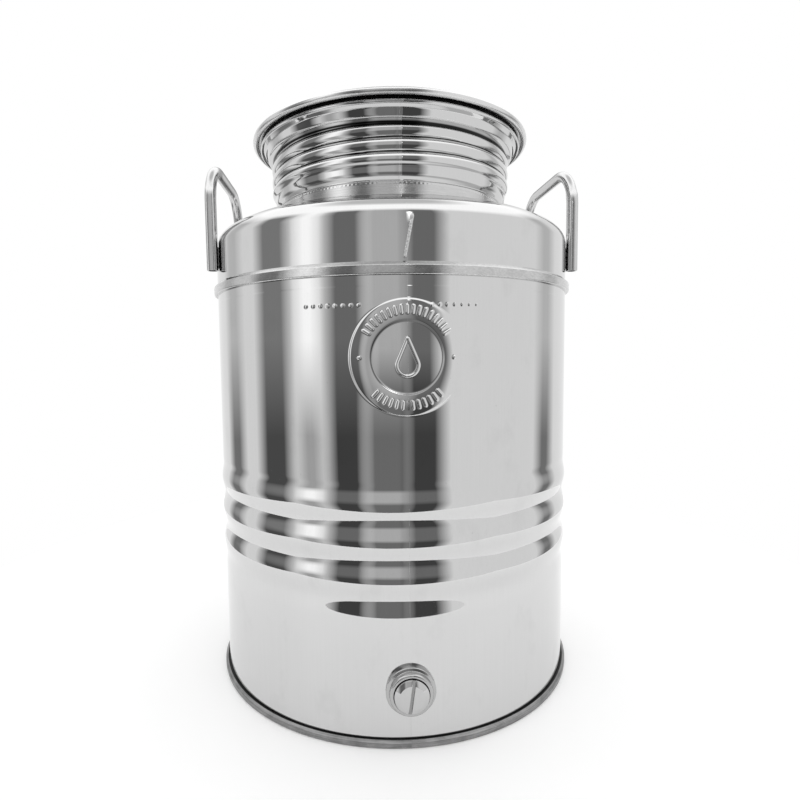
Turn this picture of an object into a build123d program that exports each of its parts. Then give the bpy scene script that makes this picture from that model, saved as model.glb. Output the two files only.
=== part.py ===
"""Stainless-steel milk can with a screw lid and a drain plug, one STEP per piece.

Millimetres, +Z up.  The origin is the centre of the base on the surface the can
stands on, and the drain plug faces -Y.
"""
from build123d import *
from math import asin, cos, degrees, hypot, radians, sin, sqrt
import os

# ---- driving dimensions ------------------------------------------------------
BODY_R = 150.0          # outside of the body
SHEET = 0.8             # thickness of every pressed or rolled sheet

RING_R = 153.3          # base ring, a channel folded round the body's lower edge
RING_H = 5.6
RING_INNER_H = 4.6      # the channel's inner side
RING_WEB = 2.0
RING_EDGE = 1.3         # rounding of its outer edges
PAN_Z = 10.0            # underside of the raised bottom pan

BEAD_MID_Z = 139.6      # three stiffening beads round the body
BEAD_PITCH = 25.6
BEAD_CREST = 1.2        # how far a crest stands out of the body
BEAD_DIP = 0.9          # how far the valleys between crests sink in
BEAD_FOOT = ((88.5, 0.0), (100.5, -0.5))    # height and swing where the beads begin
BEAD_HEAD = ((177.0, -0.2), (182.0, 0.0))   # and where they end

BADGE_Z = 262.6         # round badge pressed out of the front of the body
BADGE_R = 38.2
BADGE_MIDDLE_R = 24.0
BADGE_RISE = 0.5
BADGE_STEP = 0.9        # how far the inner face's step lies inside the outer one

BODY_TOP = 316.0        # upper edge of the body sheet
SEAM_Z0, SEAM_Z1 = 315.2, 323.8     # band folded over the joint of body and shoulder
SEAM_CREST = 2.9
SEAM_FACE = (316.2, 321.2)          # the upright part of its outside

SHOULDER_KNEE_Z = 361.7     # corner between the shoulder's wall and its slope
SHOULDER_KNEE_BEND = 13.8
SHOULDER_BREAK = (130.6, 371.6)     # corner between the slope and the dome
SHOULDER_BREAK_BEND = 41.3
NECK_FOOT_Z = 377.2     # where the dome turns up into its collar
COLLAR_BEND = 3.0
COLLAR_R = 95.7
COLLAR_TOP = 390.0
NECK_Z0 = 390.8
NECK_FOOT_R = 96.6      # the neck's lower end, which widens to the first thread
NECK_FOOT_TOP = 392.2   # end of its upright part
NECK_R = 100.2          # thread roots
THREAD_R = 102.6        # thread crests
THREAD_PITCH = 10.0
THREAD_FIRST_Z = 404.6  # lowest crest
THREAD_TURNS = 3
THREAD_BEND = 2.0
NECK_WELD_PROUD = 0.4   # out of the neck's lower end
LIP_R = 112.0
LIP_TOP = 440.9
LIP_WIRE_R = 1.6        # wire rolled into the lip

LID_UNDERSIDE = 442.7
LID_FLOOR = 410.0       # underside of the sunk middle of the lid
LID_WALL_R = 98.6
LID_RIM_R = 117.9
LID_CURL_R = 2.5
LID_CURL_Z = 444.1      # the rolled rim hangs down outside the lip
LID_BENDS = [2.0, 6.0]
SEAL_R0, SEAL_R1 = 104.0, 111.0
SEAL_GAP = 0.1

LID_GRIP_ROD_R = 4.5
LID_GRIP_HALF = 62.0
LID_GRIP_Z = 441.0
LID_GRIP_BEND = 16.0
LID_WELD_LEG = 2.4

HANDLE_TUBE_R = 4.3
HANDLE_TUBE_WALL = 1.2
HANDLE_HALF = 55.4      # half the distance between the two legs
HANDLE_PLANE = 144.6    # the plane of the loop, from the can's axis
HANDLE_TOP = 416.4
HANDLE_FOOT = 332.5
HANDLE_BEND = 31.0
HANDLE_AZIMUTH = {"left": -89.8, "right": 91.4}   # from the front, towards +X
HANDLE_WELD_R = 2.4
HANDLE_WELD_Z = (337.0, 350.0)
HANDLE_WELD_INWARD = 4.2    # from the leg's centre line, along the wall
HANDLE_WELD_PROUD = 0.6     # its centre line, from the wall

PLUG_Z = 40.0           # height of the drain's axis
BOSS_FLANGE_R = 16.9
BOSS_FLANGE_FACE = 153.2
BOSS_COLLAR_R = 14.7
BOSS_FACE = 157.8
BOSS_RECESS_R = 12.5
BOSS_RECESS_FLOOR = 154.0
BOSS_BORE_R = 10.30
BOSS_TAIL_R = 13.0
BOSS_TAIL_END = 143.0
BOSS_FLANGE_EDGE = 0.6  # chamfers
BOSS_FACE_EDGE = (1.6, 1.2)
BOSS_WELD = ((0, 146.5), (2.2, 147.8), (2.2, 151.0), (0, 151.0))   # out from the tail, reach
PLUG_SHANK_R = 10.22
PLUG_TIP = 144.0
PLUG_HEAD_R = 11.7
PLUG_HEAD_BACK = 156.2
PLUG_HEAD_EDGE = 159.0
PLUG_FACE = 160.8
PLUG_FACE_R = 8.5
PLUG_SLOT = (2.3, 1.8)  # width and depth
PLUG_SLOT_TILT = 8.0
PLUG_SEAL_R1 = 11.4
PLUG_SEAL_GAP = 0.05
DRAIN_CORE = 140.0      # cuts along the drain start here, inside the can
DRAIN_CLEAR = 165.0     # and end here, in front of it

SEAM_WELD_AZIMUTH = 1.0     # the body's long seam
SEAM_WELD_W = 3.0
SEAM_WELD_T = 0.5
SEAM_WELD_Z = (63.0, 307.0)
FRONT_WELD = ((-0.6, 326.5), (1.3, 352.0))   # azimuth and height of its two ends
FRONT_WELD_R = 1.2
WALL_BAND = (300.0, 380.0)  # heights that enclose the shoulder's upright wall

INNER_R = BODY_R - SHEET


# ---- helpers -----------------------------------------------------------------
def turned(face):
    """Revolve a flat section, drawn as (radius, height), about the Z axis."""
    return revolve(Plane.XZ * face, Axis.Z)


def turned_outline(points):
    """Revolve a section with straight sides."""
    return turned(make_face(Polyline(*points, close=True)))


def pressed(points, radii, side):
    """Revolve a sheet whose outer face follows the points, with rounded corners."""
    path = FilletPolyline(*points, radius=radii)
    return turned(make_face(offset(path, amount=SHEET, side=side, closed=True)))


def ring(r0, r1, z0, z1):
    """A plain ring with a rectangular section."""
    return turned_outline([(r0, z0), (r1, z0), (r1, z1), (r0, z1)])


def torus(ring_r, wire_r, z):
    """A round wire bent into a ring."""
    return Pos(0, 0, z) * Torus(ring_r, wire_r)


def at_azimuth(shape, azimuth):
    """Turn a shape that was made at the front (-Y) towards +X."""
    return Rot(0, 0, azimuth) * shape


def on_drain_axis(section):
    """Revolve a (radius, reach) section about the drain's axis, which points at -Y."""
    return Pos(0, 0, PLUG_Z) * Rot(90, 0, 0) * turned_outline(section)


def rod(start, end, radius):
    """A straight round rod with rounded ends between two points."""
    line = Line(start, end)
    bar = sweep(Plane(line @ 0, z_dir=line % 0) * Circle(radius), line)
    return bar + Pos(*start) * Sphere(radius) + Pos(*end) * Sphere(radius)


def surface_point(azimuth, radius, z):
    """A point at an azimuth from the front, a distance from the axis, and a height."""
    a = radians(azimuth)
    return (radius * sin(a), -radius * cos(a), z)


# ---- base and body -----------------------------------------------------------
def base_ring():
    slot_r = INNER_R - SHEET
    wall_r = slot_r - SHEET
    section = [(wall_r, 0), (RING_R, 0), (RING_R, RING_H), (BODY_R, RING_H),
               (BODY_R, RING_WEB), (slot_r, RING_WEB),
               (slot_r, RING_INNER_H), (wall_r, RING_INNER_H)]
    face = make_face(Polyline(*section, close=True))
    outer = face.vertices().filter_by(lambda v: abs(v.X - RING_R) < 0.01)
    return turned(fillet(outer, RING_EDGE))


def base_pan():
    skirt_r = INNER_R
    floor = [(skirt_r, RING_WEB), (skirt_r, PAN_Z + SHEET), (0, PAN_Z + SHEET)]
    return pressed(floor, [4.0], Side.LEFT)


def bead_edge(inset):
    """The body's outline from bottom to top, moved in by the given distance."""
    swings = [*BEAD_FOOT]
    for step in range(-2, 3):
        swing = -BEAD_DIP if step % 2 else BEAD_CREST
        swings.append((BEAD_MID_Z + step * BEAD_PITCH / 2, swing))
    swings += BEAD_HEAD
    waves = [(BODY_R - inset + swing, z) for z, swing in swings]
    beads = Spline(*waves, tangents=[(0, 1), (0, 1)])
    low = Line((BODY_R - inset, RING_WEB), waves[0])
    high = Line(waves[-1], (BODY_R - inset, BODY_TOP))
    return [low, beads, high]


def wall_between(inset0, inset1):
    """A revolved wall that follows the beads, between two depths in from outside."""
    outer, inner = bead_edge(inset0), bead_edge(inset1)
    top = Line(outer[-1] @ 1, inner[-1] @ 1)
    bottom = Line(outer[0] @ 0, inner[0] @ 0)
    return turned(make_face([*outer, top, *inner, bottom]))


def badge_band(inset, depth_r, face_r):
    """The badge's annulus where it crosses the wall, between two distances from the axis."""
    across = 2 * (BODY_R - sqrt(BODY_R ** 2 - BADGE_R ** 2) + SHEET + BADGE_RISE)
    annulus = Cylinder(BADGE_R - inset, across) - Cylinder(BADGE_MIDDLE_R + inset, across)
    wall = Cylinder(face_r, 2 * BADGE_R) - Cylinder(depth_r, 2 * BADGE_R)
    return Pos(0, -BODY_R, BADGE_Z) * Rot(90, 0, 0) * annulus & Pos(0, 0, BADGE_Z) * wall


def body_shell():
    drain_hole = on_drain_axis([(0, DRAIN_CORE), (BOSS_TAIL_R, DRAIN_CORE),
                                (BOSS_TAIL_R, DRAIN_CLEAR), (0, DRAIN_CLEAR)])
    raised = badge_band(0, BODY_R - SHEET / 2, BODY_R + BADGE_RISE)
    hollowed = badge_band(BADGE_STEP, INNER_R - SHEET, INNER_R + BADGE_RISE)
    return wall_between(0, SHEET) - drain_hole + raised - hollowed


def body_seam_weld():
    bead = wall_between(SHEET, SHEET + SEAM_WELD_T)
    low, high = SEAM_WELD_Z
    window = Pos(0, -INNER_R, (low + high) / 2) * Box(SEAM_WELD_W, 10 * SHEET, high - low)
    return bead & at_azimuth(window, SEAM_WELD_AZIMUTH)


def seam_ring():
    crest = BODY_R + SEAM_CREST
    face_z0, face_z1 = SEAM_FACE
    section = [(BODY_R, SEAM_Z0), (crest - 0.6, SEAM_Z0), (crest, face_z0),
               (crest - 0.4, face_z1), (BODY_R + 0.3, SEAM_Z1), (BODY_R, SEAM_Z1)]
    return turned_outline(section)


# ---- shoulder and neck -------------------------------------------------------
def shoulder():
    points = [(BODY_R, BODY_TOP), (BODY_R, SHOULDER_KNEE_Z), SHOULDER_BREAK,
              (COLLAR_R, NECK_FOOT_Z), (COLLAR_R, COLLAR_TOP)]
    return pressed(points, [SHOULDER_KNEE_BEND, SHOULDER_BREAK_BEND, COLLAR_BEND], Side.LEFT)


def shoulder_wall():
    """A solid cylinder inside the shoulder's upright wall, to cut things back to it."""
    low, high = WALL_BAND
    return Pos(0, 0, (low + high) / 2) * Cylinder(BODY_R, high - low)


def shoulder_seam_weld():
    ends = [surface_point(azimuth, BODY_R, z) for azimuth, z in FRONT_WELD]
    return rod(*ends, FRONT_WELD_R) - shoulder_wall()


def neck_weld():
    return ring(COLLAR_R - SHEET, NECK_FOOT_R + NECK_WELD_PROUD, COLLAR_TOP, NECK_Z0)


def neck():
    wave = [(NECK_FOOT_R, NECK_Z0), (NECK_FOOT_R, NECK_FOOT_TOP),
            (NECK_R, THREAD_FIRST_Z - THREAD_PITCH / 2)]
    for turn in range(THREAD_TURNS):
        crest_z = THREAD_FIRST_Z + turn * THREAD_PITCH
        wave.append((THREAD_R, crest_z))
        wave.append((NECK_R, crest_z + THREAD_PITCH / 2))
    wire = (LIP_R - LIP_WIRE_R, LIP_TOP - LIP_WIRE_R)
    path = [*wave, wire]
    bends = [THREAD_BEND] * (len(path) - 2)
    return pressed(path, bends, Side.LEFT) + torus(wire[0], LIP_WIRE_R, wire[1])


# ---- lid ---------------------------------------------------------------------
def lid_cup():
    curl_r = LID_RIM_R - LID_CURL_R
    path = [(curl_r, LID_UNDERSIDE), (LID_WALL_R, LID_UNDERSIDE),
            (LID_WALL_R, LID_FLOOR), (0, LID_FLOOR)]
    curl = torus(curl_r, LID_CURL_R, LID_CURL_Z)
    return pressed(path, LID_BENDS, Side.RIGHT) + curl


def lid_gasket():
    return ring(SEAL_R0, SEAL_R1, LIP_TOP + SEAL_GAP, LID_UNDERSIDE - SEAL_GAP)


def lid_handle():
    floor = LID_FLOOR + SHEET
    path = FilletPolyline((-LID_GRIP_HALF, floor), (-LID_GRIP_HALF, LID_GRIP_Z),
                          (LID_GRIP_HALF, LID_GRIP_Z), (LID_GRIP_HALF, floor),
                          radius=LID_GRIP_BEND)
    path = Plane.XZ * path
    return sweep(Plane(path @ 0, z_dir=path % 0) * Circle(LID_GRIP_ROD_R), path)


def lid_handle_welds():
    floor = LID_FLOOR + SHEET
    section = [(LID_GRIP_ROD_R, floor), (LID_GRIP_ROD_R + LID_WELD_LEG, floor),
               (LID_GRIP_ROD_R, floor + LID_WELD_LEG)]
    fillet_ring = turned_outline(section)
    return Compound([Pos(x, 0, 0) * fillet_ring for x in (-LID_GRIP_HALF, LID_GRIP_HALF)])


# ---- carrying handles --------------------------------------------------------
def handle_path():
    """The loop's centre line, at the front of the can, before it is turned into place."""
    loop = FilletPolyline((-HANDLE_HALF, HANDLE_FOOT), (-HANDLE_HALF, HANDLE_TOP),
                          (HANDLE_HALF, HANDLE_TOP), (HANDLE_HALF, HANDLE_FOOT),
                          radius=HANDLE_BEND)
    return Pos(0, -HANDLE_PLANE, 0) * (Plane.XZ * loop)


def handle_bar(tube_r):
    path = handle_path()
    return sweep(Plane(path @ 0, z_dir=path % 0) * Circle(tube_r), path)


def handle(azimuth):
    tube = handle_bar(HANDLE_TUBE_R) - handle_bar(HANDLE_TUBE_R - HANDLE_TUBE_WALL)
    return at_azimuth(tube, azimuth)


def handle_welds(azimuth):
    """One upright bead per leg, in the corner between the leg and the shoulder wall."""
    leg_azimuth = degrees(asin(HANDLE_HALF / hypot(HANDLE_HALF, HANDLE_PLANE)))
    inward = degrees(HANDLE_WELD_INWARD / BODY_R)
    beads = []
    for side in (-1, 1):
        spot = side * (leg_azimuth - inward)
        ends = [surface_point(spot, BODY_R + HANDLE_WELD_PROUD, z) for z in HANDLE_WELD_Z]
        beads.append(rod(*ends, HANDLE_WELD_R) - shoulder_wall() - handle_bar(HANDLE_TUBE_R))
    return at_azimuth(Compound(beads), azimuth)


# ---- drain -------------------------------------------------------------------
def drain_window(radius):
    """A solid cylinder on the can's axis, tall enough to cross the whole drain."""
    return Pos(0, 0, PLUG_Z) * Cylinder(radius, 3 * BOSS_FLANGE_R)


def tap_boss():
    edge_reach, edge_r = BOSS_FACE_EDGE
    flange = [(0, DRAIN_CORE), (BOSS_FLANGE_R, DRAIN_CORE),
              (BOSS_FLANGE_R, BOSS_FLANGE_FACE - BOSS_FLANGE_EDGE),
              (BOSS_FLANGE_R - BOSS_FLANGE_EDGE, BOSS_FLANGE_FACE), (BOSS_COLLAR_R, BOSS_FLANGE_FACE),
              (BOSS_COLLAR_R, BOSS_FACE - edge_reach), (BOSS_COLLAR_R - edge_r, BOSS_FACE), (0, BOSS_FACE)]
    tail = [(0, BOSS_TAIL_END), (BOSS_TAIL_R, BOSS_TAIL_END),
            (BOSS_TAIL_R, BODY_R + SHEET), (0, BODY_R + SHEET)]
    recess = [(0, DRAIN_CORE), (BOSS_BORE_R, DRAIN_CORE), (BOSS_BORE_R, BOSS_RECESS_FLOOR),
              (BOSS_RECESS_R, BOSS_RECESS_FLOOR), (BOSS_RECESS_R, DRAIN_CLEAR), (0, DRAIN_CLEAR)]
    outside = on_drain_axis(flange) - drain_window(BODY_R)
    return outside + on_drain_axis(tail) - on_drain_axis(recess)


def tap_boss_weld():
    bead = on_drain_axis([(BOSS_TAIL_R + out, reach) for out, reach in BOSS_WELD])
    return bead & drain_window(INNER_R)


def tap_plug():
    section = [(0, PLUG_TIP), (PLUG_SHANK_R - 1, PLUG_TIP), (PLUG_SHANK_R, PLUG_TIP + 1),
               (PLUG_SHANK_R, PLUG_HEAD_BACK), (PLUG_HEAD_R, PLUG_HEAD_BACK),
               (PLUG_HEAD_R, PLUG_HEAD_EDGE), (PLUG_FACE_R, PLUG_FACE), (0, PLUG_FACE)]
    width, depth = PLUG_SLOT
    slot = Pos(0, -PLUG_FACE, PLUG_Z) * Rot(0, PLUG_SLOT_TILT, 0) * Box(width, 2 * depth, 3 * PLUG_HEAD_R)
    return on_drain_axis(section) - slot


def plug_gasket():
    back, front = BOSS_RECESS_FLOOR + PLUG_SEAL_GAP, PLUG_HEAD_BACK - PLUG_SEAL_GAP
    inner_r = PLUG_SHANK_R + 2 * PLUG_SEAL_GAP
    return on_drain_axis([(inner_r, back), (PLUG_SEAL_R1, back), (PLUG_SEAL_R1, front), (inner_r, front)])


# ---- write -------------------------------------------------------------------
PIECES = {
    "base_ring": base_ring,
    "base_pan": base_pan,
    "body_shell": body_shell,
    "body_seam_weld": body_seam_weld,
    "seam_ring": seam_ring,
    "shoulder": shoulder,
    "shoulder_seam_weld": shoulder_seam_weld,
    "neck_weld": neck_weld,
    "neck": neck,
    "lid_cup": lid_cup,
    "lid_gasket": lid_gasket,
    "lid_handle": lid_handle,
    "lid_handle_welds": lid_handle_welds,
    "left_handle": lambda: handle(HANDLE_AZIMUTH["left"]),
    "right_handle": lambda: handle(HANDLE_AZIMUTH["right"]),
    "left_handle_welds": lambda: handle_welds(HANDLE_AZIMUTH["left"]),
    "right_handle_welds": lambda: handle_welds(HANDLE_AZIMUTH["right"]),
    "tap_boss": tap_boss,
    "tap_boss_weld": tap_boss_weld,
    "tap_plug": tap_plug,
    "plug_gasket": plug_gasket,
}

os.makedirs("parts", exist_ok=True)
for name, make in PIECES.items():
    export_step(make(), f"parts/{name}.step")
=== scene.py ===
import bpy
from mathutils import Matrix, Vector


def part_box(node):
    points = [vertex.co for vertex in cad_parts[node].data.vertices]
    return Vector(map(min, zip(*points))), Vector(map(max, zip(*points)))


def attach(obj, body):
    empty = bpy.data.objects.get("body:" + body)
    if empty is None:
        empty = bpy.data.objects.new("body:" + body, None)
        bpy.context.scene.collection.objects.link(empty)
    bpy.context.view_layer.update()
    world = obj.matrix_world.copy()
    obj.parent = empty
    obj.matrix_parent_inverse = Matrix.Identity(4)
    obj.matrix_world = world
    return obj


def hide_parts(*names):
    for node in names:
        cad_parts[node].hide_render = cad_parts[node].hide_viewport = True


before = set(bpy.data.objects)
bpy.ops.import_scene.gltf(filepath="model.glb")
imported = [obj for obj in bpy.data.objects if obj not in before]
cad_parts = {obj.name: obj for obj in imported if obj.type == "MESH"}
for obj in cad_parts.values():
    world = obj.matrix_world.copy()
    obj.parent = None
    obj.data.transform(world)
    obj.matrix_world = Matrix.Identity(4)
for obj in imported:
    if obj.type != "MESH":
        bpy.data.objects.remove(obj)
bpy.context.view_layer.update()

from math import atan2, cos, degrees, pi, radians, sin, sqrt, tan

import bmesh
import bpy
import numpy as np
from mathutils import Matrix, Vector

# The whole script works in millimetres; only the finished vertices are turned into metres.
MM = 0.001


def node_box(node):
    """A CAD node's lowest and highest corner, in millimetres."""
    low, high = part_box(node)
    return Vector(low) / MM, Vector(high) / MM


RING_HIGH = node_box("base_ring")[1]
BODY_HIGH = node_box("body_shell")[1]
SEAM_LOW, SEAM_HIGH = node_box("seam_ring")
SHOULDER_HIGH = node_box("shoulder")[1]
NECK_LOW, NECK_HIGH = node_box("neck")
LID_LOW, LID_HIGH = node_box("lid_cup")
SEAL_LOW, SEAL_HIGH = node_box("lid_gasket")
BOSS_LOW = node_box("tap_boss")[0]
PLUG_LOW, PLUG_HIGH = node_box("tap_plug")

SHEET = 0.8           # thickness of the steel
BODY_R = SHOULDER_HIGH.x
BEAD_CREST = BODY_HIGH.x - BODY_R
BEAD_MID_Z = 139.6
BEAD_PITCH = 25.6
BEAD_DIP = 0.9
THREAD_PITCH = 10.0
THREAD_FIRST_Z = 404.6    # crest of the lowest turn, straight ahead
THREAD_TOP_Z = 429.6      # foot of the flare
DRAIN_Z = (PLUG_LOW.z + PLUG_HIGH.z) / 2
RING_GAP = 1.3            # narrow crevice between the body and the base ring's lip, painted black as shade
RING_CREVICE_Z = 3.0      # the crevice's painted shade starts above this height
SLOT_TILT = radians(8.0)
SLOT_WIDTH = 2.3


# ---- mesh helpers ------------------------------------------------------------
def span(start, end, step):
    """Evenly spaced values from start to end, both included, no further apart than step."""
    return np.linspace(start, end, max(2, int(abs(end - start) / step) + 2))


def joined_spans(stops, steps):
    """Values from the first stop to the last, with a step of its own between each two stops."""
    parts = [span(a, b, step)[:-1] for a, b, step in zip(stops[:-1], stops[1:], steps)]
    return np.concatenate(parts + [[stops[-1]]])


def rounded(points, radii, arc_step=8.0, closed=False):
    """A polyline with its corners rounded by arcs.  radii has one value per point."""
    count = len(points)
    out = []
    for i, point in enumerate(points):
        here = np.array(point, float)
        if radii[i] == 0 or (not closed and i in (0, count - 1)):
            out.append(here)
            continue
        back = np.array(points[i - 1], float) - here
        ahead = np.array(points[(i + 1) % count], float) - here
        back /= np.linalg.norm(back)
        ahead /= np.linalg.norm(ahead)
        half = np.arccos(np.clip(back @ ahead, -1, 1)) / 2
        bisector = (back + ahead) / np.linalg.norm(back + ahead)
        centre = here + bisector * radii[i] / sin(half)
        first = here + back * radii[i] / tan(half) - centre
        last = here + ahead * radii[i] / tan(half) - centre
        a0 = atan2(first[1], first[0])
        turn = (atan2(last[1], last[0]) - a0 + pi) % (2 * pi) - pi
        for a in span(a0, a0 + turn, radians(arc_step)):
            out.append(centre + radii[i] * np.array([cos(a), sin(a)]))
    return np.array(out)


def refined(points, step):
    """The same polyline with no stretch longer than step."""
    out = [points[0]]
    for a, b in zip(points[:-1], points[1:]):
        pieces = max(1, int(np.linalg.norm(b - a) / step + 0.999))
        out += [a + (b - a) * k / pieces for k in range(1, pieces + 1)]
    return np.array(out)


def offset_left(points, distance):
    """The polyline moved sideways, to the left of its direction."""
    tangent = np.gradient(points, axis=0)
    tangent /= np.linalg.norm(tangent, axis=1)[:, None]
    return points + distance * np.stack([-tangent[:, 1], tangent[:, 0]], -1)


def sheet_outline(path, thickness):
    """A closed section: the path, and the path moved left by the sheet's thickness."""
    return np.concatenate([path, offset_left(path, thickness)[::-1]])


def finish_mesh(name, verts, faces, body, material, replaces=(), sharp=40.0):
    """Make an object from millimetre vertices and hand it to the frame."""
    mesh = bpy.data.meshes.new(name)
    mesh.from_pydata((np.asarray(verts) * MM).tolist(), [], faces)
    work = bmesh.new()
    work.from_mesh(mesh)
    bmesh.ops.remove_doubles(work, verts=work.verts, dist=1e-6)
    bmesh.ops.recalc_face_normals(work, faces=work.faces)
    work.to_mesh(mesh)
    work.free()
    mesh.shade_smooth()
    mesh.set_sharp_from_angle(angle=radians(sharp))
    piece = bpy.data.objects.new(name, mesh)
    bpy.context.scene.collection.objects.link(piece)
    piece.data.materials.append(material)
    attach(piece, body)
    if replaces:
        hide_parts(*replaces)
    return piece


def grid_faces(rows, columns, wrap_rows, wrap_columns):
    """Quads over a grid of vertices that is stored row by row."""
    i = np.arange(rows if wrap_rows else rows - 1)
    j = np.arange(columns if wrap_columns else columns - 1)
    i, j = [a.ravel() for a in np.meshgrid(i, j, indexing="ij")]
    i2, j2 = (i + 1) % rows, (j + 1) % columns
    quads = np.stack([i * columns + j, i * columns + j2, i2 * columns + j2, i2 * columns + j], -1)
    return quads.tolist()


def around(count):
    """Evenly spaced azimuths all the way round."""
    return np.linspace(-pi, pi, count, endpoint=False)


def lathe_points(section, azimuths, swell=None):
    """Points of a (radius, height) section turned about Z; swell adds to the radius."""
    r = np.repeat(section[:, :1], len(azimuths), axis=1)
    z = np.repeat(section[:, 1:], len(azimuths), axis=1)
    a = np.repeat(azimuths[None, :], len(section), axis=0)
    if swell is not None:
        r = r + swell(a, z)
    return np.stack([r * np.sin(a), -r * np.cos(a), z], -1).reshape(-1, 3)


def lathe(name, section, body, material, columns=360, swell=None, replaces=(), sharp=40.0,
          closed=True):
    """A turned piece.  An open section has both ends on the axis."""
    azimuths = around(columns) if isinstance(columns, int) else columns
    verts = lathe_points(section, azimuths, swell)
    faces = grid_faces(len(section), len(azimuths), closed, True)
    return finish_mesh(name, verts, faces, body, material, replaces, sharp)


def drain_lathe(name, section, body, material, columns=128, replaces=(), closed=True, cut=None):
    """A piece turned about the drain's axis, from a (radius, reach) section."""
    azimuths = around(columns)
    verts = lathe_points(section, azimuths)
    verts = verts[:, [0, 2, 1]] * [1, -1, 1] + [0, 0, DRAIN_Z]
    if cut is not None:
        verts = cut(verts)
    faces = grid_faces(len(section), len(azimuths), closed, True)
    return finish_mesh(name, verts, faces, body, material, replaces)


def sweep(path, sections):
    """Vertices of closed sections carried along a path lying in a plane.

    sections gives, for each path point, a list of (across, sideways) offsets: across is
    in the plane of the path, sideways is along its normal.
    """
    tangent = np.gradient(path, axis=0)
    tangent /= np.linalg.norm(tangent, axis=1)[:, None]
    normal = np.cross(tangent[0], tangent[len(path) // 2])
    normal /= np.linalg.norm(normal)
    rows = []
    for point, along, section in zip(path, tangent, sections):
        across = np.cross(normal, along)
        rows.append(point + section[:, :1] * across + section[:, 1:] * normal)
    return np.array(rows)


# ---- material helpers --------------------------------------------------------
class Nodes:
    """A short way to write a node tree."""

    def __init__(self, tree):
        self.tree = tree

    def new(self, kind, **settings):
        """A new node with the settings given."""
        node = self.tree.nodes.new(kind)
        for key, value in settings.items():
            setattr(node, key, value)
        return node

    def link(self, source, target):
        self.tree.links.new(source, target)

    def put(self, value, socket):
        """Link a socket, or set a plain number."""
        if isinstance(value, bpy.types.NodeSocket):
            self.link(value, socket)
        else:
            socket.default_value = value

    def math(self, operation, a, b=0.0, c=0.0):
        """One Math node over sockets or plain numbers."""
        node = self.new("ShaderNodeMath", operation=operation)
        for value, socket in zip((a, b, c), node.inputs):
            self.put(value, socket)
        return node.outputs[0]

    def scaled(self, vector, scale):
        """The vector, stretched by a factor along each axis."""
        node = self.new("ShaderNodeMapping")
        self.link(vector, node.inputs["Vector"])
        node.inputs["Scale"].default_value = scale
        return node.outputs[0]

    def noise(self, vector, scale, detail=2.0, roughness=0.5):
        """Soft random values between 0 and 1."""
        node = self.new("ShaderNodeTexNoise")
        self.link(vector, node.inputs["Vector"])
        node.inputs["Scale"].default_value = scale
        node.inputs["Detail"].default_value = detail
        node.inputs["Roughness"].default_value = roughness
        return node.outputs["Fac"]

    def spread(self, value, low, high, new_low, new_high):
        """The range low..high laid on new_low..new_high, and held at its ends."""
        node = self.new("ShaderNodeMapRange", clamp=True)
        for number, socket in zip((value, low, high, new_low, new_high), node.inputs):
            self.put(number, socket)
        return node.outputs[0]

    def blend(self, factor, a, b):
        """a where factor is 0, b where it is 1."""
        node = self.new("ShaderNodeMix", data_type="FLOAT")
        for value, socket in zip((factor, a, b), (node.inputs[0], node.inputs[2], node.inputs[3])):
            self.put(value, socket)
        return node.outputs[0]

    def grey_mix(self, factor, first, second):
        """A grey: first where factor is 0, second where it is 1."""
        node = self.new("ShaderNodeMix", data_type="RGBA")
        self.put(factor, node.inputs[0])
        node.inputs[6].default_value = (first, first, first, 1)
        node.inputs[7].default_value = (second, second, second, 1)
        return node.outputs[2]

    def bump(self, height, distance, strength=1.0, normal=None):
        """A normal that follows height, on top of another normal if one is given."""
        node = self.new("ShaderNodeBump")
        node.inputs["Strength"].default_value = strength
        node.inputs["Distance"].default_value = distance
        self.link(height, node.inputs["Height"])
        if normal is not None:
            self.link(normal, node.inputs["Normal"])
        return node.outputs[0]


def new_material(name, metallic):
    """A material with an empty shader; returns it with its nodes and its shader."""
    material = bpy.data.materials.new(name)
    material.use_nodes = True
    nodes = Nodes(material.node_tree)
    shader = material.node_tree.nodes["Principled BSDF"]
    shader.inputs["Metallic"].default_value = metallic
    return material, nodes, shader


def darkened(material, nodes, mask, grey):
    """Paint a material plain grey where the mask is 1, and leave it as it is where that is 0."""
    shader = material.node_tree.nodes["Principled BSDF"]
    mix = nodes.new("ShaderNodeMix", data_type="RGBA")
    nodes.link(mask, mix.inputs[0])
    nodes.link(shader.inputs["Base Color"].links[0].from_socket, mix.inputs[6])
    mix.inputs[7].default_value = (grey, grey, grey, 1)
    nodes.link(mix.outputs[2], shader.inputs["Base Color"])
    return material


def position(nodes):
    """The place on the object in metres; objects sit at the origin, so this is the can's own frame."""
    return nodes.new("ShaderNodeTexCoord").outputs["Object"]


def round_the_axis(nodes, point, radius):
    """Cylinder coordinates: arc length and height in metres, so streaks can run round or up."""
    split = nodes.new("ShaderNodeSeparateXYZ")
    nodes.link(point, split.inputs[0])
    arc = nodes.math("MULTIPLY", nodes.math("ARCTAN2", split.outputs[0], split.outputs[1]), radius)
    join = nodes.new("ShaderNodeCombineXYZ")
    nodes.link(arc, join.inputs[0])
    nodes.link(split.outputs[2], join.inputs[1])
    distance = nodes.math("SQRT", nodes.math("ADD", nodes.math("POWER", split.outputs[0], 2.0),
                                             nodes.math("POWER", split.outputs[1], 2.0)))
    nodes.link(distance, join.inputs[2])
    return join.outputs[0]


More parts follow.
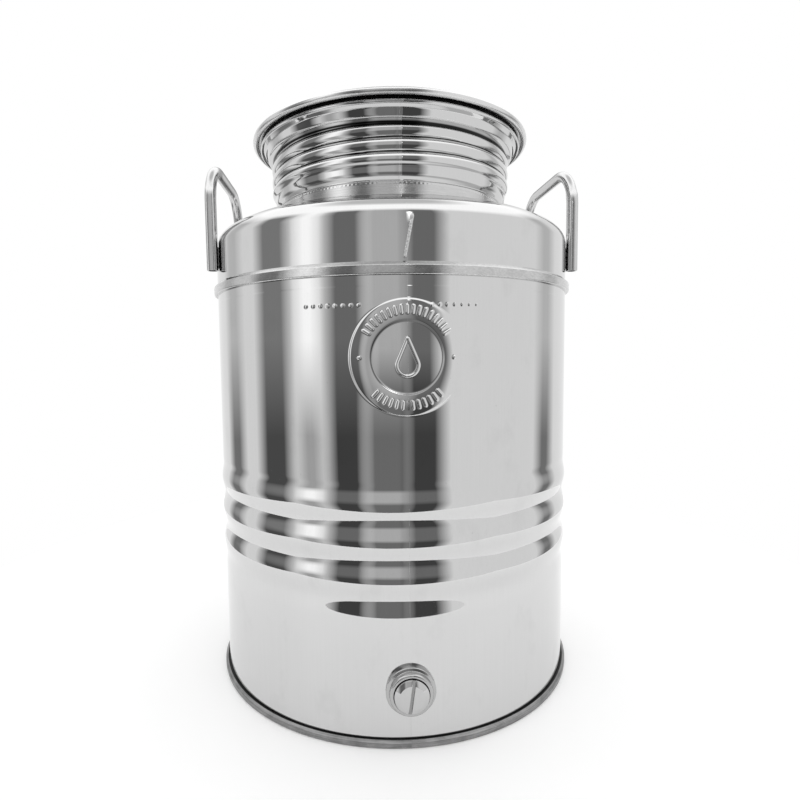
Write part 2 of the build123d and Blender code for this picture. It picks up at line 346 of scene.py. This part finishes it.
def polished_steel(name, radius, grey=0.64, rough=(0.015, 0.05), waviness=0.00012, smudges=0.0):
    """Mirror-finished sheet: faint upright draw lines, dulled patches and a slight waviness."""
    material, nodes, shader = new_material(name, 1.0)
    wrapped = round_the_axis(nodes, position(nodes), radius)
    streaks = nodes.noise(nodes.scaled(wrapped, (900, 12, 900)), 1.0, 3.0, 0.6)
    patches = nodes.noise(wrapped, 14.0, 4.0, 0.6)
    both = nodes.math("ADD", nodes.math("MULTIPLY", streaks, 0.5), nodes.math("MULTIPLY", patches, 0.5))
    nodes.link(nodes.spread(both, 0.35, 0.68, rough[0], rough[1]), shader.inputs["Roughness"])
    shade = nodes.spread(both, 0.3, 0.7, 0.0, 0.04)
    if smudges:
        wiped = nodes.noise(nodes.scaled(wrapped, (34, 22, 34)), 1.0, 6.0, 0.62)
        specks = nodes.noise(wrapped, 420.0, 2.0, 0.5)
        shade = nodes.math("ADD", shade, nodes.spread(wiped, 0.56, 0.74, 0.0, smudges))
        shade = nodes.math("ADD", shade, nodes.spread(specks, 0.74, 0.8, 0.0, smudges * 2))
    nodes.link(nodes.grey_mix(shade, grey, 0.0), shader.inputs["Base Color"])
    slow = nodes.noise(nodes.scaled(wrapped, (9, 5, 9)), 1.0, 1.0, 0.4)
    fine = nodes.noise(nodes.scaled(wrapped, (1400, 30, 1400)), 1.0, 2.0, 0.5)
    wavy = nodes.bump(slow, waviness * 8)
    nodes.link(nodes.bump(fine, waviness * 0.02, 0.6, wavy), shader.inputs["Normal"])
    return material


def brushed_steel(name, radius, grey=0.6, rough=(0.22, 0.42), grain=(40, 2600, 2600), depth=0.00004,
                  contrast=(0.08, 0.05), metallic=1.0):
    """Ground or brushed steel: fine parallel scratches over a mottled sheen.

    contrast is how far the grey falls in the scratches and how far it rises between them.
    """
    material, nodes, shader = new_material(name, metallic)
    wrapped = round_the_axis(nodes, position(nodes), radius)
    lines = nodes.noise(nodes.scaled(wrapped, grain), 1.0, 4.0, 0.7)
    mottle = nodes.noise(wrapped, 90.0, 5.0, 0.65)
    nodes.link(nodes.spread(mottle, 0.3, 0.7, rough[0], rough[1]), shader.inputs["Roughness"])
    shade = nodes.math("ADD", nodes.math("MULTIPLY", lines, 0.6), nodes.math("MULTIPLY", mottle, 0.4))
    shade = nodes.spread(shade, 0.38, 0.64, 0.0, 1.0)
    nodes.link(nodes.grey_mix(shade, grey - contrast[0], grey + contrast[1]), shader.inputs["Base Color"])
    pits = nodes.bump(mottle, depth * 2, 0.5)
    nodes.link(nodes.bump(lines, depth, 0.8, pits), shader.inputs["Normal"])
    return material


def crevice_shaded_steel(name, radius, out, down):
    """Dull mottled steel, painted black as shade nearer the axis than out and higher up than down, where
    the crevice lies.
    """
    material = brushed_steel(name, radius, grey=0.27, rough=(0.3, 0.42), contrast=(0.12, 0.08))
    nodes = Nodes(material.node_tree)
    split = nodes.new("ShaderNodeSeparateXYZ")
    nodes.link(round_the_axis(nodes, position(nodes), radius), split.inputs[0])
    # painted shade: near-black inside the crevice's radius and above its floor
    inward = nodes.spread(split.outputs[2], out - 0.0003, out, 1.0, 0.0)
    upper = nodes.spread(split.outputs[1], down - 0.0003, down, 0.0, 1.0)
    return darkened(material, nodes, nodes.math("MULTIPLY", inward, upper), 0.03)


def threaded_steel(name, radius):
    """Polished neck steel with painted shade: dark lines along the thread's roots and under the flare."""
    material = polished_steel(name, radius, rough=(0.02, 0.07))
    nodes = Nodes(material.node_tree)
    split = nodes.new("ShaderNodeSeparateXYZ")
    nodes.link(position(nodes), split.inputs[0])
    ahead = nodes.math("MULTIPLY", split.outputs[1], -1.0)
    winding = nodes.math("MULTIPLY", nodes.math("ARCTAN2", split.outputs[0], ahead), 0.5 / pi)
    height = nodes.math("MULTIPLY", split.outputs[2], 1 / MM)
    turns = nodes.math("DIVIDE", nodes.math("SUBTRACT", height, THREAD_FIRST_Z), THREAD_PITCH)
    phase = nodes.math("FRACT", nodes.math("SUBTRACT", turns, winding))
    off_root = nodes.math("ABSOLUTE", nodes.math("SUBTRACT", phase, 0.5))
    # painted shade along the thread's roots
    root = nodes.spread(off_root, 0.025, 0.05, 1.0, 0.0)
    above = nodes.spread(height, 401.0, 403.0, 0.0, 1.0)
    below = nodes.spread(height, 427.0, 429.0, 1.0, 0.0)
    roots = nodes.math("MULTIPLY", nodes.math("MULTIPLY", root, above), below)
    # painted shade in the groove under the flare
    off_flare = nodes.math("ABSOLUTE", nodes.math("SUBTRACT", height, THREAD_TOP_Z))
    dark = nodes.math("MAXIMUM", roots, nodes.spread(off_flare, 0.35, 0.7, 1.0, 0.0))
    return darkened(material, nodes, dark, 0.03)


def slot_shaded_steel(name, turn, width):
    """Turned steel whose slot, a band across the drain's axis, is painted dark grey as shade."""
    material = polished_steel(name, 0.150, grey=0.55, rough=(0.03, 0.06))
    nodes = Nodes(material.node_tree)
    split = nodes.new("ShaderNodeSeparateXYZ")
    nodes.link(position(nodes), split.inputs[0])
    up = nodes.math("SUBTRACT", split.outputs[2], DRAIN_Z * MM)
    across = nodes.math("SUBTRACT", nodes.math("MULTIPLY", split.outputs[0], cos(turn)),
                        nodes.math("MULTIPLY", up, sin(turn)))
    # painted shade: the slot band is painted dark grey
    cut = nodes.spread(nodes.math("ABSOLUTE", across), width / 2 - 0.00005, width / 2 + 0.00005, 1.0, 0.0)
    return darkened(material, nodes, cut, 0.28)


def weld_steel(name):
    """Rippled weld metal, with painted highlight on the crests and painted shade in the dips."""
    material, nodes, shader = new_material(name, 1.0)
    point = position(nodes)
    ripples = nodes.noise(nodes.scaled(point, (500, 500, 1500)), 1.0, 3.0, 0.6)
    grains = nodes.noise(point, 1600.0, 3.0, 0.6)
    nodes.link(nodes.spread(grains, 0.3, 0.7, 0.2, 0.45), shader.inputs["Roughness"])
    # painted highlight and shade: the colour follows the bump's ripples, lighter on crests, darker in dips
    nodes.link(nodes.grey_mix(nodes.spread(ripples, 0.35, 0.65, 0.0, 1.0), 0.5, 0.74),
               shader.inputs["Base Color"])
    coarse = nodes.bump(ripples, 0.0005, 0.7)
    nodes.link(nodes.bump(grains, 0.0002, 0.6, coarse), shader.inputs["Normal"])
    return material


def black_rubber(name):
    """Matt black food-grade rubber with a faint bloom; on the lid seal the black also stands for painted
    shade in the gap under the lid's curl.
    """
    material, nodes, shader = new_material(name, 0.0)
    point = position(nodes)
    bloom = nodes.noise(point, 220.0, 4.0, 0.6)
    nodes.link(nodes.spread(bloom, 0.3, 0.7, 0.45, 0.65), shader.inputs["Roughness"])
    nodes.link(nodes.grey_mix(nodes.spread(bloom, 0.4, 0.7, 0.0, 1.0), 0.002, 0.005),
               shader.inputs["Base Color"])
    shader.inputs["Specular IOR Level"].default_value = 0.08
    nodes.link(nodes.bump(nodes.noise(point, 2400.0, 2.0), 0.00005, 0.5), shader.inputs["Normal"])
    return material


POLISHED = polished_steel("polished_steel", 0.150, smudges=0.06)
NECK_STEEL = threaded_steel("neck_steel", 0.100)
COLLAR_STEEL = brushed_steel("collar_steel", 0.100, grey=0.62, rough=(0.17, 0.24), depth=0.000003)
LID_STEEL = polished_steel("lid_steel", 0.115, grey=0.73, rough=(0.2, 0.24), waviness=0.00002)
# the base ring's crevice is painted black as shade
RING_STEEL = crevice_shaded_steel("base_ring_steel", 0.150, (BODY_R + RING_GAP) * MM, RING_CREVICE_Z * MM)
SEAM_STEEL = brushed_steel("seam_steel", 0.150, grey=0.58, rough=(0.08, 0.22), grain=(500, 900, 900),
                           depth=0.000005, contrast=(0.1, 0.05))
HANDLE_STEEL = brushed_steel("handle_steel", 0.150, grey=0.61, rough=(0.15, 0.2), grain=(2200, 60, 2200),
                             depth=0.000001, contrast=(0.04, 0.03))
TURNED_STEEL = polished_steel("turned_steel", 0.150, grey=0.46, rough=(0.12, 0.2))
# the plug's slot is painted dark as shade
PLUG_STEEL = slot_shaded_steel("plug_steel", SLOT_TILT, SLOT_WIDTH * MM)
WELD_STEEL = weld_steel("weld_steel")
# black rubber; on the lid seal its black also paints the shade in the gap
BLACK_RUBBER_AND_SHADE = black_rubber("black_rubber")


# ---- base and body -----------------------------------------------------------
def make_base_ring():
    """The channel folded round the body's lower edge, with a sloped lip outside a narrow crevice."""
    inner = BODY_R - 3 * SHEET
    slot_in = BODY_R - 2 * SHEET
    top = RING_HIGH.z
    points = [(inner, 0), (RING_HIGH.x, 0), (RING_HIGH.x, top - 1.5), (BODY_R + RING_GAP, top),
              (BODY_R + 0.8, top - 1.2), (BODY_R + 0.1, top - 1.2), (BODY_R + 0.1, 2.0), (slot_in, 2.0),
              (slot_in, top - 1.2), (inner, top - 1.2)]
    section = rounded(points, [0.6, 1.4, 0.8, 0.3, 0.2, 0.1, 0.1, 0.1, 0.3, 0.3], 15.0, closed=True)
    lathe("base_ring_rolled", section, "can", RING_STEEL, 480, replaces=["base_ring"])


def bead_swell(z):
    """How far the three beads push the body wall out at a height: eased from crest to dip."""
    crest = BEAD_CREST
    upper, lower = BEAD_MID_Z + BEAD_PITCH, BEAD_MID_Z - BEAD_PITCH
    knots = [(88.5, 0), (100.5, -0.47), (lower, crest), ((lower + BEAD_MID_Z) / 2, -BEAD_DIP),
             (BEAD_MID_Z, crest), ((upper + BEAD_MID_Z) / 2, -BEAD_DIP), (upper, crest),
             (177.0, -0.2), (182.0, 0)]
    heights, swells = np.array(knots).T
    k = np.clip(np.searchsorted(heights, z) - 1, 0, len(knots) - 2)
    t = np.clip((z - heights[k]) / (heights[k + 1] - heights[k]), 0, 1)
    return swells[k] + (swells[k + 1] - swells[k]) * t * t * (3 - 2 * t)


# The round badge pressed into the front, and the rows of pips beside it.
BADGE_AZIMUTH = radians(-0.15)
BADGE_Z = 262.6
BADGE_R = 38.2
BADGE_BAND_R = 31.0
BADGE_MIDDLE_R = 23.0
PIP_ROW_Z = 296.5
SCORE_Z = 308.4


def eased(value, start, end):
    """0 at start, 1 at end, with a smooth run between them."""
    t = np.clip((value - start) / (end - start), 0, 1)
    return t * t * (3 - 2 * t)


def bar(x, y, length, width, edge=0.9):
    """A raised bar with rounded ends lying along y: 1 on top, 0 outside."""
    past_end = np.maximum(np.abs(y) - (length - width) / 2, 0)
    return eased(np.hypot(x, past_end), width / 2 + edge / 2, width / 2 - edge / 2)


def drop_distance(x, y, low_r, tip_r, height):
    """Signed distance to a drop: a round foot at the origin narrowing to a tip above it."""
    lean = (low_r - tip_r) / height
    rise = sqrt(1 - lean * lean)
    x = np.abs(x)
    along = -lean * x + rise * y
    side = rise * x + lean * y - low_r
    tip = np.hypot(x, y - height) - tip_r
    return np.where(along < 0, np.hypot(x, y) - low_r, np.where(along > rise * height, tip, side))


def badge_swell(azimuth, z):
    """A raised band that carries plain bars, round a slightly domed middle with a plain drop."""
    across = (azimuth - BADGE_AZIMUTH) * BODY_R
    up = z - BADGE_Z
    out = np.hypot(across, up)
    clock = np.degrees(np.arctan2(across, up))
    crown = 0.25 * np.clip(1 - ((out - BADGE_BAND_R) / 7) ** 2, 0, 1)
    band = (0.5 + crown) * eased(out, BADGE_R + 0.4, BADGE_R - 1.4)
    dome = 0.15 + 0.45 * np.clip(1 - (out / BADGE_MIDDLE_R) ** 2, 0, 1)
    inside = eased(out, BADGE_MIDDLE_R + 1.6, BADGE_MIDDLE_R - 0.2)
    shape = band + (dome - band) * inside
    step = 7.25
    nearest = np.round(clock / step) * step
    sideways = out * np.sin(np.radians(clock - nearest))
    upright = np.abs(nearest) < 8.5 * step
    hanging = np.abs(nearest) > 180 - 6.5 * step
    bars = bar(sideways, out - BADGE_BAND_R, 6.0, 1.5) * (upright | hanging)
    pips = bar(np.abs(across) - BADGE_BAND_R, up, 2.2, 2.2)
    edge = np.abs(drop_distance(across, up + 5, 7.0, 0.4, 17.0))
    drop = eased(edge, 1.1, 0.3)
    return shape + 0.5 * np.maximum(np.maximum(bars, pips), drop)


def pip_swell(azimuth, z):
    """Two rows of small plain pips, left and right of the badge."""
    step = 2.0
    degrees_round = np.degrees(azimuth)
    nearest = np.round(degrees_round / step) * step
    sideways = BODY_R * np.radians(degrees_round - nearest)
    in_row = ((nearest > -28) & (nearest < -11)) | ((nearest > 5) & (nearest < 19))
    return 0.35 * bar(sideways, z - PIP_ROW_Z, 2.0, 2.0) * in_row


def body_swell(azimuth, z):
    """Everything pressed into the body wall, and the faint step of the scored line near its top."""
    above_score = -0.07 * eased(z, SCORE_Z - 0.3, SCORE_Z + 0.3) * eased(z, SCORE_Z + 5, SCORE_Z + 3)
    return bead_swell(z) + badge_swell(azimuth, z) + pip_swell(azimuth, z) + above_score


def make_body():
    """The body sheet: rows and columns stand close together where something is pressed into it."""
    top = BODY_HIGH.z
    z_out = joined_spans([2.0, 84.0, 186.0, 222.0, 311.5, top], [12, 0.8, 12, 0.45, 3])
    z_in = joined_spans([2.0, 84.0, 186.0, 222.0, 303.0, top], [12, 2.5, 12, 1.2, 3])
    outer = np.stack([np.full(len(z_out), BODY_R), z_out], -1)
    inner = np.stack([np.full(len(z_in), BODY_R - SHEET), z_in], -1)
    columns = joined_spans([-180, -28, -16, 16, 19, 180], [1.0, 0.2, 0.17, 0.2, 1.0])[:-1]
    lathe("body_sheet", np.concatenate([outer, inner[::-1]]), "can", POLISHED,
          np.radians(columns), swell=body_swell, replaces=["body_shell"])


def make_seam_ring():
    """The folded band: a rounded lower edge, an upright face and a slope back to the wall."""
    crest = SEAM_HIGH.x
    low, high = SEAM_LOW.z, SEAM_HIGH.z
    points = [(BODY_R, low), (crest - 0.1, low), (crest, high - 2.6), (BODY_R + 0.2, high), (BODY_R, high)]
    section = rounded(points, [0, 1.0, 0.9, 0.1, 0], 12.0, closed=True)
    lathe("seam_band", section, "can", SEAM_STEEL, 480, replaces=["seam_ring"])


# ---- shoulder and neck -------------------------------------------------------
LONG_SEAM = radians(1.0)     # azimuth of the long welds in body and neck
SHOULDER_KNEE = (BODY_R, 361.7)
SHOULDER_BREAK = (130.6, 371.6)
COLLAR_R = 95.7
COLLAR_FOOT_Z = 377.2
NECK_FOOT_R = 96.6
LIP_WIRE_R = 1.6             # the neck's lip is curled round a wire of this radius
THREAD_DEPTH = 2.4
WHEEL_MARKS = 194            # pressed by the welding wheel round the collar


def make_shoulder():
    """The mirror-bright dome, and the satin collar it turns up into."""
    bend = 3.0
    top = COLLAR_FOOT_Z + bend
    points = [(BODY_R, BODY_HIGH.z), SHOULDER_KNEE, SHOULDER_BREAK, (COLLAR_R, COLLAR_FOOT_Z),
              (COLLAR_R, top)]
    path = refined(rounded(points, [0, 13.8, 41.3, bend - 0.01, 0], 3.0), 8.0)
    lathe("shoulder_dome", sheet_outline(path, SHEET), "can", POLISHED, 480,
          replaces=["shoulder"])
    collar = refined(np.array([(COLLAR_R, top), (COLLAR_R, SHOULDER_HIGH.z)]), 3.0)
    lathe("neck_collar", sheet_outline(collar, SHEET), "can", COLLAR_STEEL, 360)


def make_neck_weld():
    """The seam between collar and neck, with the welding wheel's marks above and below it."""
    low, high = SHOULDER_HIGH.z - 1.8, NECK_LOW.z + 1.9
    neck_r = NECK_FOOT_R
    points = [(COLLAR_R - 0.4, low), (COLLAR_R + 0.05, low), (COLLAR_R + 0.1, low + 1.8),
              (neck_r + 0.2, low + 2.2), (neck_r + 0.2, low + 2.7), (neck_r + 0.05, high),
              (neck_r - 0.4, high)]
    section = refined(rounded(points, [0.02, 0.02, 0.3, 0.3, 0.3, 0.02, 0.02], 30.0, closed=True), 0.3)

    def wheel_marks(azimuth, z):
        """Two rows of small raised marks, one above the weld and one below it."""
        rows = np.maximum(eased(np.abs(z - low - 0.8), 0.6, 0.3), eased(np.abs(z - high + 0.8), 0.6, 0.3))
        return 0.1 * rows * eased(np.cos(WHEEL_MARKS * azimuth), 0.1, 0.8)

    lathe("collar_seam", section, "can", NECK_STEEL, 6 * WHEEL_MARKS,
          swell=wheel_marks, replaces=["neck_weld"])


def neck_swell(azimuth, z):
    """The rolled thread, winding up to the right and running out under the flare, and the long seam."""
    turns = (z - THREAD_FIRST_Z) / THREAD_PITCH - azimuth / (2 * pi)
    across = np.abs(2 * ((turns + 0.5) % 1.0) - 1)
    thread = (1 - across ** 2.3) * eased(z, 398.5, 403.0) * eased(z, THREAD_TOP_Z, THREAD_TOP_Z - 3.2)
    seam = eased(np.abs(azimuth - LONG_SEAM) * 100, 1.3, 0.6)
    return THREAD_DEPTH * thread + 0.12 * seam


def make_neck():
    """The threaded mouth, from its curved foot to the flare and the curled lip."""
    plain_r = NECK_HIGH.x - 11.8
    top = NECK_HIGH.z
    wire = LIP_WIRE_R
    lip_r = NECK_HIGH.x - wire
    points = [(NECK_FOOT_R, NECK_LOW.z), (plain_r - 0.8, 393.6), (plain_r, 399.6), (plain_r, THREAD_TOP_Z),
              (plain_r + 5.2, THREAD_TOP_Z + 1.8), (plain_r + 7.0, top - 4.4), (lip_r, top - wire - 0.2)]
    path = refined(rounded(points, [0, 6.0, 2.0, 0.5, 2.6, 2.4, 0], 6.0), 0.45)
    curl = [(lip_r + wire * cos(a), top - wire + wire * sin(a))
            for a in span(radians(-75), radians(215), radians(12))]
    outer = np.concatenate([path, curl])
    inner = offset_left(path, SHEET)[::-1][::2]
    lathe("neck_thread", np.concatenate([outer, inner]), "can", NECK_STEEL, 540,
          swell=neck_swell, replaces=["neck"])


# ---- lid ---------------------------------------------------------------------
LID_CURL_R = 2.5
LID_WALL_R = 98.6
GASKET_BORE_R = 104.0


def make_lid():
    """The sunk cup with its flange lying on the gasket, and the rolled rim."""
    curl = LID_CURL_R
    rim = LID_HIGH.x - curl
    under = SEAL_HIGH.z + 0.1
    wall = LID_WALL_R
    path = rounded([(rim - 2.3, under), (wall, under), (wall, LID_LOW.z), (0, LID_LOW.z)],
                   [0, 2.0, 6.0, 0], 6.0)
    path = refined(path, 6.0)
    top = offset_left(path, -SHEET)
    top[-1][0] = 0
    roll = [(rim + curl * cos(a), LID_HIGH.z - curl + curl * sin(a))
            for a in span(radians(-150), radians(190), radians(8))]
    section = np.concatenate([path[::-1], roll, top])
    lathe("lid_pressing", section, "lid", LID_STEEL, 480, replaces=["lid_cup"],
          closed=False)


def make_lid_seal():
    """The flat ring between the neck's lip and the lid, black partly as rubber and partly as painted shade
    in the gap there.
    """
    low, high = SEAL_LOW.z, SEAL_HIGH.z
    points = [(GASKET_BORE_R, low), (SEAL_HIGH.x, low), (SEAL_HIGH.x, high), (GASKET_BORE_R, high)]
    section = rounded(points, [0.3, 0.6, 0.6, 0.3], 20.0, closed=True)
    # painted shade: the seal's black also paints the shade between the lid's curl and the neck's lip
    lathe("lid_seal_ring", section, "lid_seal", BLACK_RUBBER_AND_SHADE, 240, replaces=["lid_gasket"])


# ---- handles -----------------------------------------------------------------
HANDLE_TUBE_R = 4.3
HANDLE_BORE = 0.72           # share of the tube's width that is hollow
HANDLE_FLAT_Z = 397.0        # the legs are pressed slightly flat below this height
HANDLE_HALF = 55.4           # from the middle of the loop to a leg
HANDLE_PLANE = 144.6         # from the can's axis to the plane of the loop
HANDLE_BEND = 31.0


def handle_sections(path):
    """Round tube at the top of the loop, pressed slightly flat down the legs."""
    angles = around(40)
    sections = []
    for point in path:
        flat = np.clip((HANDLE_FLAT_Z - point[2]) / 3.0, 0, 1)
        power = 1.0 - 0.38 * flat
        c = np.sign(np.cos(angles)) * np.abs(np.cos(angles)) ** power
        s = np.sign(np.sin(angles)) * np.abs(np.sin(angles)) ** power
        wide, narrow = HANDLE_TUBE_R + 0.2 * flat, HANDLE_TUBE_R - 0.2 * flat
        sections.append(np.stack([wide * c, narrow * s], -1))
    return sections


def make_handle(side, azimuth):
    """A bent loop of hollow tube, open at its feet, turned to its place round the can."""
    low, high = node_box(f"{side}_handle")
    half, top = HANDLE_HALF, high.z - HANDLE_TUBE_R
    corners = [(-half, low.z), (-half, top), (half, top), (half, low.z)]
    loop = refined(rounded(corners, [0, HANDLE_BEND, HANDLE_BEND, 0], 3.0), 3.0)
    path = np.stack([loop[:, 0], np.full(len(loop), -HANDLE_PLANE), loop[:, 1]], -1)
    turn = np.array(Matrix.Rotation(radians(azimuth), 3, "Z"))
    sections = handle_sections(path)
    outer = sweep(path, sections)
    inner = sweep(path, [section * HANDLE_BORE for section in sections])
    rows, columns = outer.shape[:2]
    verts = np.concatenate([outer.reshape(-1, 3), inner.reshape(-1, 3)]) @ turn.T
    faces = grid_faces(rows, columns, False, True)
    start = rows * columns
    faces += [[a + start for a in face[::-1]] for face in faces]
    for row in (0, rows - 1):
        for j in range(columns):
            a, b = row * columns + j, row * columns + (j + 1) % columns
            faces.append([a, b, b + start, a + start])
    finish_mesh(f"{side}_handle_tube", verts, faces, "can", HANDLE_STEEL,
                [f"{side}_handle"])


# ---- drain -------------------------------------------------------------------
FLANGE_BACK = 148.6          # reach of the socket's flange where it meets the body


def make_socket():
    """The turned socket: a shank through the wall, a flange outside it and a recess for the plug."""
    face = -BOSS_LOW.y
    points = [(10.3, 143), (13.0, 143), (13.0, FLANGE_BACK), (16.9, FLANGE_BACK), (16.9, 153.2),
              (14.7, 153.6), (14.7, face), (12.1, face), (12.1, 154.0), (10.3, 154.0)]
    section = rounded(points, [0.4, 0.4, 0, 0, 0.7, 0.4, 1.5, 0.4, 0.3, 0.3], 15.0, closed=True)

    def seat(verts):
        """Lay the flange's back edge on the body."""
        limit = -np.sqrt(np.maximum(BODY_R ** 2 - verts[:, 0] ** 2, 0)) + 0.3
        flange = np.abs(verts[:, 1] + FLANGE_BACK) < 0.01
        verts[flange, 1] = limit[flange]
        return verts

    drain_lathe("tap_socket", section, "can", TURNED_STEEL, 160, ["tap_boss"], cut=seat)


def cut_slot(piece, reach):
    """Cut the screwdriver slot across the face of the plug."""
    cutter = bpy.data.meshes.new("slot_cutter")
    block = bmesh.new()
    bmesh.ops.create_cube(block, size=1.0)
    bmesh.ops.scale(block, vec=(SLOT_WIDTH * MM, 3.6 * MM, 40 * MM), verts=block.verts)
    bmesh.ops.rotate(block, matrix=Matrix.Rotation(SLOT_TILT, 3, "Y"), verts=block.verts)
    bmesh.ops.translate(block, vec=(0, -reach * MM, DRAIN_Z * MM), verts=block.verts)
    block.to_mesh(cutter)
    block.free()
    knife = bpy.data.objects.new("slot_cutter", cutter)
    bpy.context.scene.collection.objects.link(knife)
    slot = piece.modifiers.new("slot", "BOOLEAN")
    slot.operation = "DIFFERENCE"
    slot.object = knife
    slot.solver = "EXACT"
    bpy.context.view_layer.objects.active = piece
    piece.select_set(True)
    bpy.ops.object.modifier_apply(modifier="slot")
    bpy.data.objects.remove(knife)
    bpy.data.meshes.remove(cutter)


def make_plug():
    """The screw plug, with its slot, and the washer under its head."""
    reach = -PLUG_LOW.y
    points = [(0, 144), (9.2, 144), (10.22, 145), (10.22, 156.2), (11.7, 156.2), (11.7, 159.0),
              (8.5, reach), (0, reach)]
    section = rounded(points, [0, 0, 0, 0.1, 0.3, 0.25, 0.25, 0], 15.0)
    plug = drain_lathe("slotted_plug", section, "plug", PLUG_STEEL, 160, ["tap_plug"],
                       closed=False)
    cut_slot(plug, reach)
    washer = [(10.4, 154.1), (11.4, 154.1), (11.4, 156.1), (10.4, 156.1)]
    section = rounded(washer, [0.3] * 4, 30.0, closed=True)
    drain_lathe("plug_washer", section, "plug_seal", BLACK_RUBBER_AND_SHADE, 96, ["plug_gasket"])


# ---- studio ------------------------------------------------------------------
CAMERA_HEADING = radians(-3.4)

# A plain soft studio: pale walls all round, a lit ceiling, and soft-edged upright panels that
# give bright steel its contrast.  Each panel is (azimuth in degrees to the right of straight
# ahead, half width, brightness): a soft box on the left, and dark and grey cards.
WALL_LIGHT = 0.95
CEILING_LIGHT = 1.5
OVERHEAD_LIGHT = 0.75        # straight above, where the flat lid would mirror the ceiling
PANELS = [(-119, 9, 0.65), (-78, 12, 0.27), (-52, 7, 1.45), (-28, 11, 0.2), (-3, 13, 0.6), (19, 11, 0.2),
          (112, 8, 0.65), (180, 14, 0.4)]
PANEL_EDGE = 5.0
KEY_LIGHT = (10.7, 19.0)     # azimuth and elevation of one small upright lamp
KEY_BRIGHTNESS = 3.0
FLOOR_GREY = 0.86
FLOOR_GLOW = 0.17


def make_world():
    """The studio, as the steel mirrors it, with a white backdrop for the camera itself."""
    world = bpy.data.worlds.new("studio")
    bpy.context.scene.world = world
    world.use_nodes = True
    nodes = Nodes(world.node_tree)
    shade = world.node_tree.nodes["Background"]
    split = nodes.new("ShaderNodeSeparateXYZ")
    nodes.link(nodes.new("ShaderNodeTexCoord").outputs["Generated"], split.inputs[0])
    forward = nodes.math("MULTIPLY", split.outputs[1], -1.0)
    bearing = nodes.math("ARCTAN2", split.outputs[0], forward)
    bearing = nodes.math("MULTIPLY_ADD", bearing, degrees(1), -degrees(CAMERA_HEADING))
    rise = nodes.math("MULTIPLY", nodes.math("ARCSINE", split.outputs[2]), degrees(1))
    towards_table = nodes.spread(rise, -8.0, 2.0, 0.35, 1.0)
    walls = WALL_LIGHT
    for azimuth, half_width, light in PANELS:
        offset = nodes.math("WRAP", nodes.math("SUBTRACT", bearing, azimuth), 180.0, -180.0)
        inside = nodes.spread(nodes.math("ABSOLUTE", offset), half_width - PANEL_EDGE,
                              half_width + PANEL_EDGE, 1.0, 0.0)
        walls = nodes.blend(inside, walls, nodes.math("MULTIPLY", towards_table, light))
    beside = nodes.math("ABSOLUTE", nodes.math("SUBTRACT", bearing, KEY_LIGHT[0]))
    beyond = nodes.math("ABSOLUTE", nodes.math("SUBTRACT", rise, KEY_LIGHT[1]))
    lamp = nodes.math("MULTIPLY", nodes.spread(beside, 0.5, 2.0, 1.0, 0.0),
                      nodes.spread(beyond, 2.0, 5.0, 1.0, 0.0))
    walls = nodes.math("MULTIPLY_ADD", lamp, KEY_BRIGHTNESS, walls)
    ceiling = nodes.spread(split.outputs[2], 0.5, 0.68, 0.0, 1.0)
    overhead = nodes.spread(split.outputs[2], 0.88, 0.97, CEILING_LIGHT, OVERHEAD_LIGHT)
    both = nodes.blend(ceiling, walls, overhead)
    seen = nodes.blend(nodes.new("ShaderNodeLightPath").outputs["Is Camera Ray"], both, 1.0)
    nodes.link(seen, shade.inputs["Color"])


def make_floor():
    """A plain pale table top, straight in front of the can and rounded behind it."""
    front, back, half = 350.0, 700.0, 520.0
    turn = Matrix.Rotation(CAMERA_HEADING, 3, "Z")
    corners = [(-half, -front, 0), (half, -front, 0)]
    corners += [(half * cos(angle), back * sin(angle), 0) for angle in np.linspace(0, pi, 49)]
    mesh = bpy.data.meshes.new("floor")
    mesh.from_pydata([turn @ Vector(corner) * MM for corner in corners], [], [range(len(corners))])
    floor = bpy.data.objects.new("floor", mesh)
    bpy.context.scene.collection.objects.link(floor)
    material, _, shader = new_material("pale_floor", 0.0)
    shader.inputs["Base Color"].default_value = (FLOOR_GREY, FLOOR_GREY, FLOOR_GREY, 1)
    shader.inputs["Roughness"].default_value = 0.6
    shader.inputs["Emission Color"].default_value = (1, 1, 1, 1)
    shader.inputs["Emission Strength"].default_value = FLOOR_GLOW
    mesh.materials.append(material)


def make_camera():
    """A wide lens close to the can, looking slightly down past its middle."""
    data = bpy.data.cameras.new("camera")
    data.sensor_width = 36.0
    data.lens = 24.745
    data.shift_x = 0.01764
    camera = bpy.data.objects.new("camera", data)
    bpy.context.scene.collection.objects.link(camera)
    bpy.context.scene.camera = camera
    azimuth, distance, height = radians(-4.045), 504.0 * MM, 262.1 * MM
    pitch, roll = 0.0752, -0.0111
    camera.location = (distance * sin(azimuth), -distance * cos(azimuth), height)
    aim = Matrix.Rotation(CAMERA_HEADING, 4, "Z") @ Matrix.Rotation(pi / 2 - pitch, 4, "X")
    camera.rotation_euler = (aim @ Matrix.Rotation(roll, 4, "Z")).to_euler()
    data.clip_start = 0.01


def dress_cad_nodes():
    """Better materials for the CAD nodes that keep their own shape."""
    looks = {"base_pan": RING_STEEL, "body_seam_weld": WELD_STEEL, "shoulder_seam_weld": WELD_STEEL,
             "lid_handle": HANDLE_STEEL, "lid_handle_welds": WELD_STEEL,
             "left_handle_welds": WELD_STEEL, "right_handle_welds": WELD_STEEL,
             "tap_boss_weld": WELD_STEEL}
    for node, material in looks.items():
        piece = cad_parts[node]
        for slot in piece.material_slots:
            slot.material = material


make_camera()
make_world()
make_floor()
make_base_ring()
make_body()
make_seam_ring()
make_shoulder()
make_neck_weld()
make_neck()
make_lid()
make_lid_seal()
make_handle("left", -89.8)
make_handle("right", 91.4)
make_socket()
make_plug()
dress_cad_nodes()
bpy.context.scene.view_settings.view_transform = "Standard"
